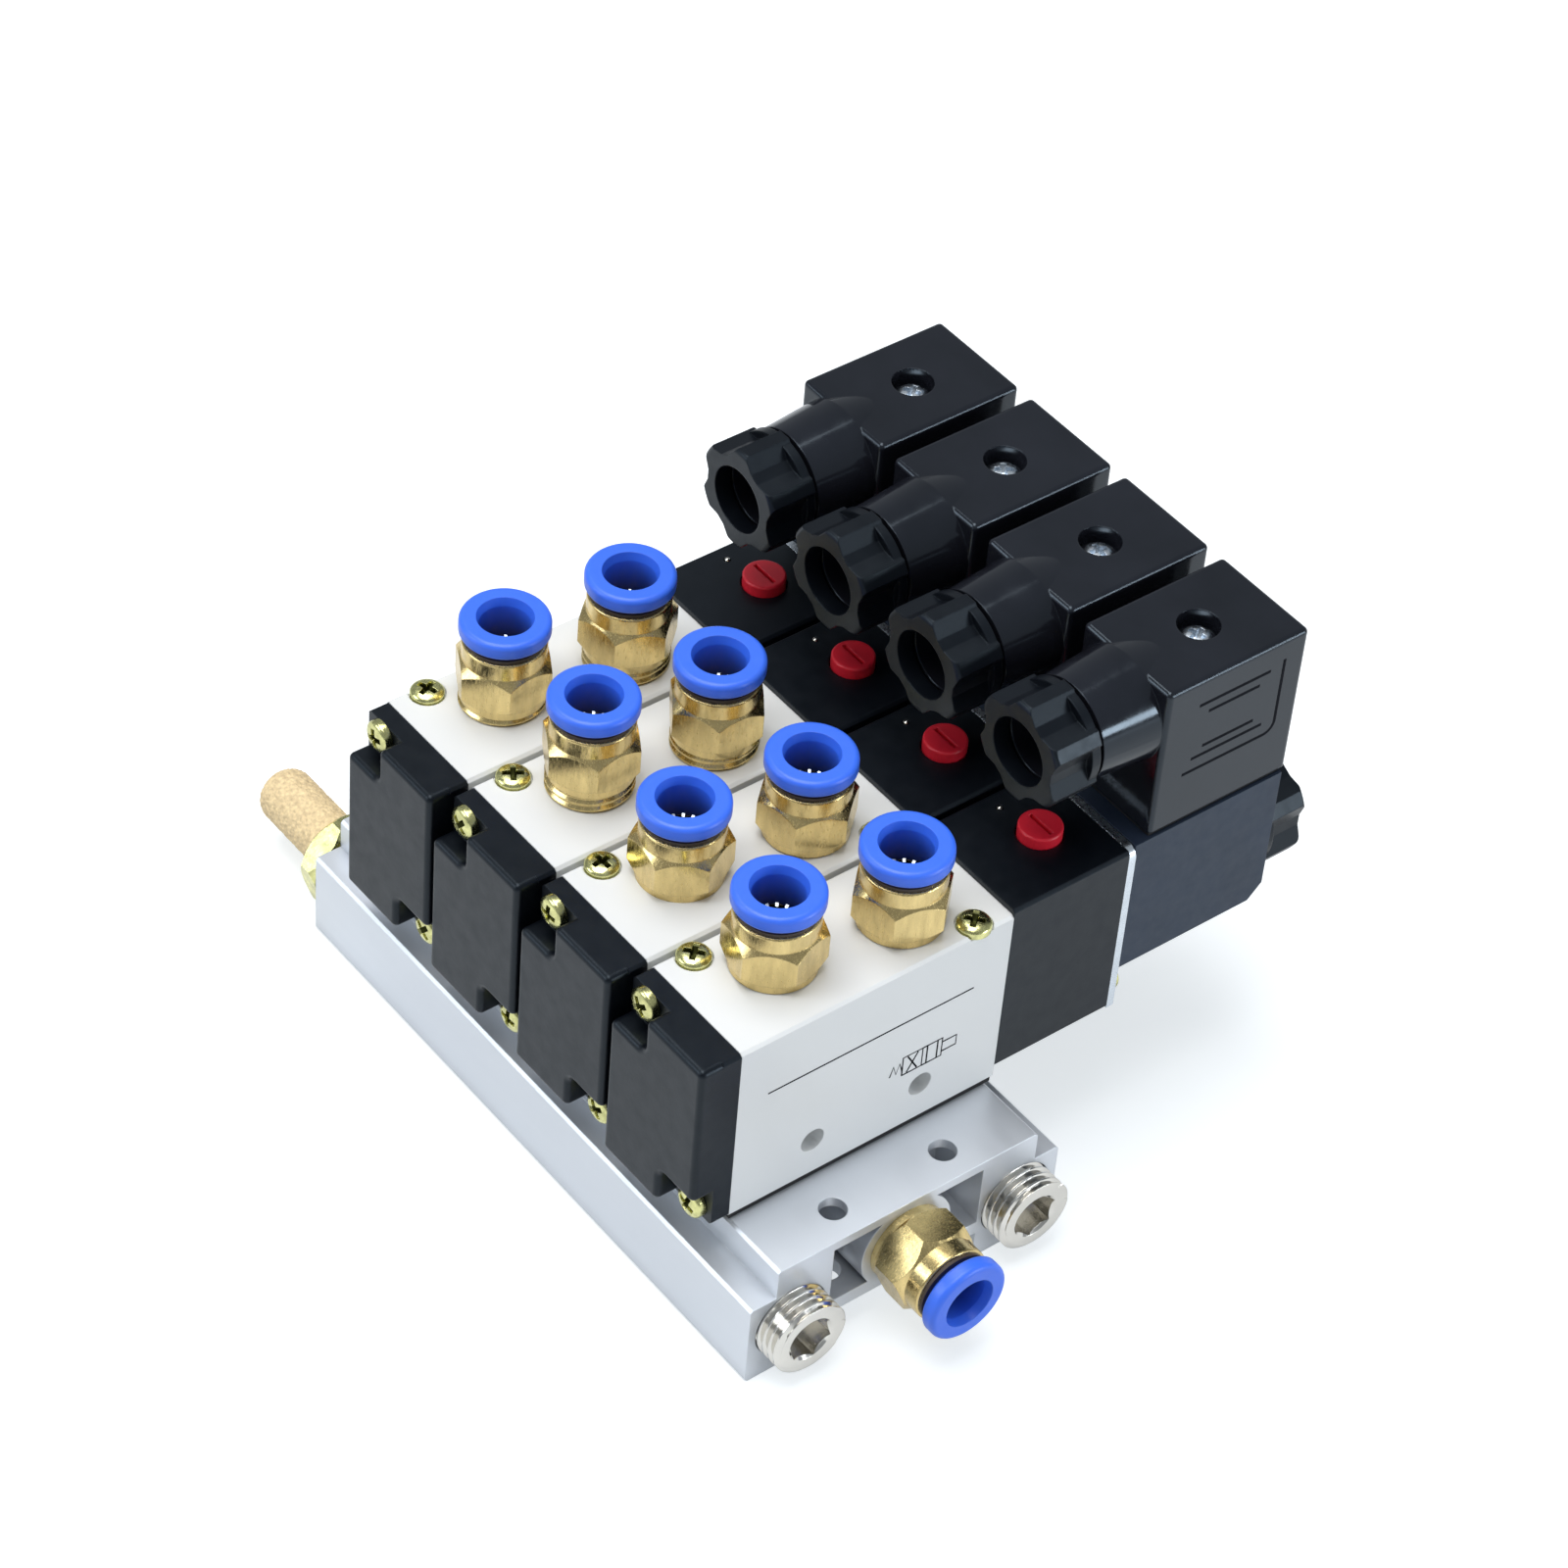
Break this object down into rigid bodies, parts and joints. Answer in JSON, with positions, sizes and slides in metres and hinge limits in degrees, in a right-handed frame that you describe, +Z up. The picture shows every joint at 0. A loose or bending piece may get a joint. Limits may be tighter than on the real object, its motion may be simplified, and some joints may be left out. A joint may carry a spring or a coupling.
{
  "type": "pneumatic valve island",
  "caption": "Valve island: white solenoid valves with black coils and cable connectors on an aluminium manifold, with blue push-in fittings, plugs and silencers.",
  "frame": {"origin": "middle of the four mounting holes, in the top face of the manifold's deck", "axes": "+X along the manifold to the air inlet, +Y along the valves from the end caps to the coils, +Z up out of the ports"},
  "size_m": [0.1549, 0.1205, 0.0885],
  "materials": {
    "manifold": "satin anodised extrusion",
    "valve_white": "smooth white paint",
    "black_plastic": "fine satin moulding",
    "coil_black": "moulded resin",
    "connector_black": "glossy moulding",
    "seal_black": "flat rubber",
    "blue": "smooth blue moulding",
    "red": "smooth red moulding",
    "brass": "machined",
    "nickel": "bright plated",
    "zinc": "yellow zinc plated",
    "steel": "bright steel",
    "spool_metal": "ground",
    "sintered": "grainy sintered bronze"
  },
  "bodies": {
    "island": {"manifold_base": "manifold", "valve_gaskets": "seal_black", "valve_body_1": "valve_white", "end_cap_1": "black_plastic", "pilot_body_1": "black_plastic", "coil_1": "coil_black", "connector_1": "connector_black", "valve_body_2": "valve_white", "end_cap_2": "black_plastic", "pilot_body_2": "black_plastic", "coil_2": "coil_black", "connector_2": "connector_black", "valve_body_3": "valve_white", "end_cap_3": "black_plastic", "pilot_body_3": "black_plastic", "coil_3": "coil_black", "connector_3": "connector_black", "valve_body_4": "valve_white", "end_cap_4": "black_plastic", "pilot_body_4": "black_plastic", "coil_4": "coil_black", "connector_4": "connector_black", "return_springs": "steel", "plunger_springs": "steel", "core_tubes": "steel", "coil_nuts": "black_plastic", "connector_gaskets": "seal_black", "connector_screws": "steel", "gland_nuts": "connector_black", "pan_screws": "zinc", "port_fittings": "brass", "inlet_fitting": "brass", "gallery_plugs": "nickel", "silencer_bodies": "zinc", "silencer_elements": "sintered"},
    "spool_1": {"spool_1": "spool_metal"},
    "plunger_1": {"plunger_1": "steel"},
    "override_pin_1": {"override_pin_1": "steel"},
    "override_button_1": {"override_button_1": "red"},
    "spool_2": {"spool_2": "spool_metal"},
    "plunger_2": {"plunger_2": "steel"},
    "override_pin_2": {"override_pin_2": "steel"},
    "override_button_2": {"override_button_2": "red"},
    "spool_3": {"spool_3": "spool_metal"},
    "plunger_3": {"plunger_3": "steel"},
    "override_pin_3": {"override_pin_3": "steel"},
    "override_button_3": {"override_button_3": "red"},
    "spool_4": {"spool_4": "spool_metal"},
    "plunger_4": {"plunger_4": "steel"},
    "override_pin_4": {"override_pin_4": "steel"},
    "override_button_4": {"override_button_4": "red"},
    "release_collar_a1": {"release_collar_a1": "blue"},
    "release_collar_a2": {"release_collar_a2": "blue"},
    "release_collar_a3": {"release_collar_a3": "blue"},
    "release_collar_a4": {"release_collar_a4": "blue"},
    "release_collar_b1": {"release_collar_b1": "blue"},
    "release_collar_b2": {"release_collar_b2": "blue"},
    "release_collar_b3": {"release_collar_b3": "blue"},
    "release_collar_b4": {"release_collar_b4": "blue"},
    "inlet_collar": {"inlet_collar": "blue"}
  },
  "joints": [
    {"name": "spool_1_shift", "type": "slide", "parent": "island", "child": "spool_1", "axis": [0, -1, 0], "range_m": [0, 0.003], "stiffness_N_per_m": 1500, "deforming": ["return_springs"]},
    {"name": "plunger_1_lift", "type": "slide", "parent": "island", "child": "plunger_1", "axis": [0, 1, 0], "range_m": [0, 0.001], "stiffness_N_per_m": 300, "deforming": ["plunger_springs"]},
    {"name": "override_1_press", "type": "slide", "parent": "island", "child": "override_pin_1", "axis": [0, 0, -1], "range_m": [0, 0.0012], "stiffness_N_per_m": 800},
    {"name": "override_1_turn", "type": "hinge", "parent": "override_pin_1", "child": "override_button_1", "pos_m": [-0.0345, 0.0399, 0.0368], "axis": [0, 0, -1], "range_deg": [0, 90]},
    {"name": "spool_2_shift", "type": "slide", "parent": "island", "child": "spool_2", "axis": [0, -1, 0], "range_m": [0, 0.003], "stiffness_N_per_m": 1500, "deforming": ["return_springs"]},
    {"name": "plunger_2_lift", "type": "slide", "parent": "island", "child": "plunger_2", "axis": [0, 1, 0], "range_m": [0, 0.001], "stiffness_N_per_m": 300, "deforming": ["plunger_springs"]},
    {"name": "override_2_press", "type": "slide", "parent": "island", "child": "override_pin_2", "axis": [0, 0, -1], "range_m": [0, 0.0012], "stiffness_N_per_m": 800},
    {"name": "override_2_turn", "type": "hinge", "parent": "override_pin_2", "child": "override_button_2", "pos_m": [-0.0115, 0.0399, 0.0368], "axis": [0, 0, -1], "range_deg": [0, 90]},
    {"name": "spool_3_shift", "type": "slide", "parent": "island", "child": "spool_3", "axis": [0, -1, 0], "range_m": [0, 0.003], "stiffness_N_per_m": 1500, "deforming": ["return_springs"]},
    {"name": "plunger_3_lift", "type": "slide", "parent": "island", "child": "plunger_3", "axis": [0, 1, 0], "range_m": [0, 0.001], "stiffness_N_per_m": 300, "deforming": ["plunger_springs"]},
    {"name": "override_3_press", "type": "slide", "parent": "island", "child": "override_pin_3", "axis": [0, 0, -1], "range_m": [0, 0.0012], "stiffness_N_per_m": 800},
    {"name": "override_3_turn", "type": "hinge", "parent": "override_pin_3", "child": "override_button_3", "pos_m": [0.0115, 0.0399, 0.0368], "axis": [0, 0, -1], "range_deg": [0, 90]},
    {"name": "spool_4_shift", "type": "slide", "parent": "island", "child": "spool_4", "axis": [0, -1, 0], "range_m": [0, 0.003], "stiffness_N_per_m": 1500, "deforming": ["return_springs"]},
    {"name": "plunger_4_lift", "type": "slide", "parent": "island", "child": "plunger_4", "axis": [0, 1, 0], "range_m": [0, 0.001], "stiffness_N_per_m": 300, "deforming": ["plunger_springs"]},
    {"name": "override_4_press", "type": "slide", "parent": "island", "child": "override_pin_4", "axis": [0, 0, -1], "range_m": [0, 0.0012], "stiffness_N_per_m": 800},
    {"name": "override_4_turn", "type": "hinge", "parent": "override_pin_4", "child": "override_button_4", "pos_m": [0.0345, 0.0399, 0.0368], "axis": [0, 0, -1], "range_deg": [0, 90]},
    {"name": "release_collar_a1_press", "type": "slide", "parent": "island", "child": "release_collar_a1", "axis": [0, 0, -1], "range_m": [0, 0.0009], "stiffness_N_per_m": 500},
    {"name": "release_collar_a2_press", "type": "slide", "parent": "island", "child": "release_collar_a2", "axis": [0, 0, -1], "range_m": [0, 0.0009], "stiffness_N_per_m": 500},
    {"name": "release_collar_a3_press", "type": "slide", "parent": "island", "child": "release_collar_a3", "axis": [0, 0, -1], "range_m": [0, 0.0009], "stiffness_N_per_m": 500},
    {"name": "release_collar_a4_press", "type": "slide", "parent": "island", "child": "release_collar_a4", "axis": [0, 0, -1], "range_m": [0, 0.0009], "stiffness_N_per_m": 500},
    {"name": "release_collar_b1_press", "type": "slide", "parent": "island", "child": "release_collar_b1", "axis": [0, 0, -1], "range_m": [0, 0.0009], "stiffness_N_per_m": 500},
    {"name": "release_collar_b2_press", "type": "slide", "parent": "island", "child": "release_collar_b2", "axis": [0, 0, -1], "range_m": [0, 0.0009], "stiffness_N_per_m": 500},
    {"name": "release_collar_b3_press", "type": "slide", "parent": "island", "child": "release_collar_b3", "axis": [0, 0, -1], "range_m": [0, 0.0009], "stiffness_N_per_m": 500},
    {"name": "release_collar_b4_press", "type": "slide", "parent": "island", "child": "release_collar_b4", "axis": [0, 0, -1], "range_m": [0, 0.0009], "stiffness_N_per_m": 500},
    {"name": "inlet_collar_press", "type": "slide", "parent": "island", "child": "inlet_collar", "axis": [-1, 0, 0], "range_m": [0, 0.0009], "stiffness_N_per_m": 500}
  ]
}
